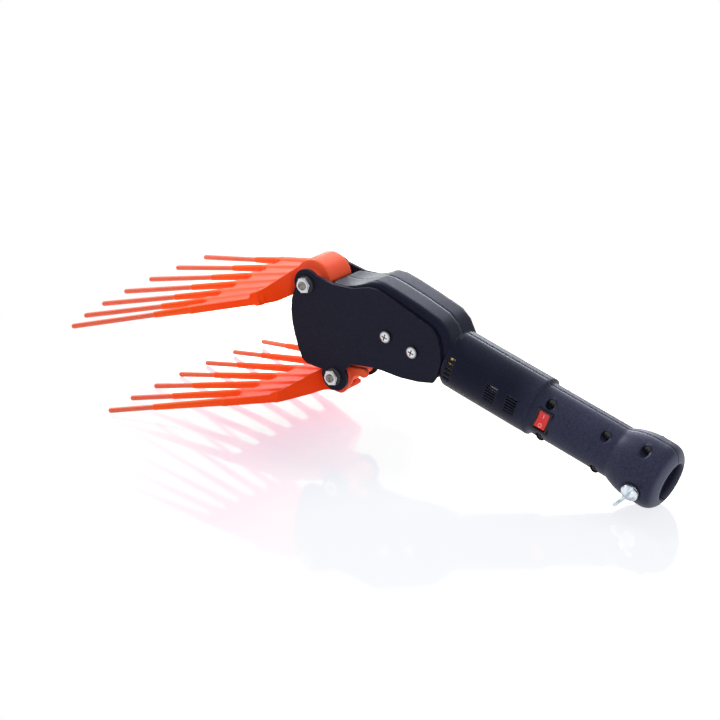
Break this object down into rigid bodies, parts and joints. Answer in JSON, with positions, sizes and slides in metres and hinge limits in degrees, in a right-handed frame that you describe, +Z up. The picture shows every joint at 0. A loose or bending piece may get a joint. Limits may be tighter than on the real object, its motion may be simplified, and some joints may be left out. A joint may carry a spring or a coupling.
{
  "type": "electric olive harvester head",
  "caption": "Pole-mounted electric olive harvester head with a bent black motor handle, side plates and two orange beating combs that open and close on pivots.",
  "frame": {"origin": "centre of the footprint on the table that the tool rests on", "axes": "+Z up; +X back along the tool towards the tail collar; -Y is the side with the switch"},
  "size_m": [0.6025, 0.2322, 0.1553],
  "materials": {
    "black_shell": "satin",
    "black_plate": "satin",
    "orange_plastic": "semi-gloss",
    "orange_rod": "semi-gloss",
    "zinc": "bright zinc",
    "steel": "machined",
    "bronze": "sintered bronze",
    "yellow_zinc": "yellow passivated",
    "nylon": "natural",
    "switch_black": "gloss",
    "switch_red": "gloss",
    "motor_steel": "plated",
    "armature": "varnished laminations"
  },
  "bodies": {
    "frame": {"near_housing_half": "black_shell", "far_housing_half": "black_shell", "near_side_plate": "black_plate", "far_side_plate": "black_plate", "plate_screws": "zinc", "housing_screws": "zinc", "pivot_bolts": "zinc", "pivot_nuts": "zinc", "pivot_washers": "zinc", "pivot_sleeves": "steel", "yoke_guides": "nylon", "crank_bush": "bronze", "pinion_bush": "bronze", "motor_can": "motor_steel", "motor_end_cap": "switch_black", "motor_mount": "yellow_zinc", "motor_tabs": "yellow_zinc", "switch_body": "switch_black", "switch_tabs": "yellow_zinc", "clamp_insert": "yellow_zinc"},
    "upper_arm": {"upper_comb": "orange_plastic", "upper_tines": "orange_rod", "upper_bushes": "bronze", "upper_drive_pin": "steel"},
    "lower_arm": {"lower_comb": "orange_plastic", "lower_tines": "orange_rod", "lower_bushes": "bronze", "lower_drive_pin": "steel"},
    "yoke": {"drive_yoke": "steel"},
    "crank": {"crank_shaft": "steel", "crank_gear": "steel", "crank_pin": "steel", "crank_roller": "steel"},
    "rotor": {"pinion_shaft": "steel", "shaft_coupling": "steel", "motor_shaft": "steel", "motor_armature": "armature"},
    "rocker": {"switch_rocker": "switch_red"},
    "clamp_screw": {"clamp_stud": "zinc"},
    "clamp_head": {"clamp_wings": "zinc"}
  },
  "joints": [
    {"name": "upper_comb_swing", "type": "hinge", "parent": "frame", "child": "upper_arm", "pos_m": [-0.0581, 0, 0.135], "axis": [0, 1, 0], "range_deg": [-8, 8]},
    {"name": "lower_comb_swing", "type": "hinge", "parent": "frame", "child": "lower_arm", "pos_m": [-0.0281, 0, 0.0539], "axis": [0, 1, 0], "range_deg": [-8, 8]},
    {"name": "yoke_slide", "type": "slide", "parent": "frame", "child": "yoke", "axis": [0.9379, 0, 0.3469], "range_m": [-0.00293, 0.00293]},
    {"name": "crank_turn", "type": "hinge", "parent": "frame", "child": "crank", "pos_m": [0.00712, 0, 0.11303], "axis": [0, 1, 0], "range_deg": [-58.1, 58.1]},
    {"name": "motor_shaft_turn", "type": "hinge", "parent": "frame", "child": "rotor", "pos_m": [0.0509, 0, 0.09973], "axis": [0.9568, 0, -0.2907], "range_deg": [-116.2, 116.2]},
    {"name": "rocker_tilt", "type": "hinge", "parent": "frame", "child": "rocker", "pos_m": [0.1852, -0.01716, 0.06018], "axis": [0.9568, 0, -0.2907], "range_deg": [0, 18]},
    {"name": "clamp_advance", "type": "slide", "parent": "frame", "child": "clamp_screw", "axis": [-0.0898, -0.9511, -0.2957], "range_m": [-0.00087, 0.0025]},
    {"name": "clamp_turn", "type": "hinge", "parent": "clamp_screw", "child": "clamp_head", "pos_m": [0.27449, -0.02853, 0.02211], "axis": [-0.0898, -0.9511, -0.2957], "range_deg": [-256, 732]}
  ],
  "couplings": [
    {"joint": "lower_comb_swing", "follows": "upper_comb_swing", "ratio": -1},
    {"joint": "yoke_slide", "follows": "upper_comb_swing", "m_per_rad": -0.021},
    {"joint": "crank_turn", "follows": "upper_comb_swing", "ratio": -7.25},
    {"joint": "motor_shaft_turn", "follows": "upper_comb_swing", "ratio": 14.5},
    {"joint": "clamp_turn", "follows": "clamp_advance", "rad_per_m": 5026.6}
  ]
}
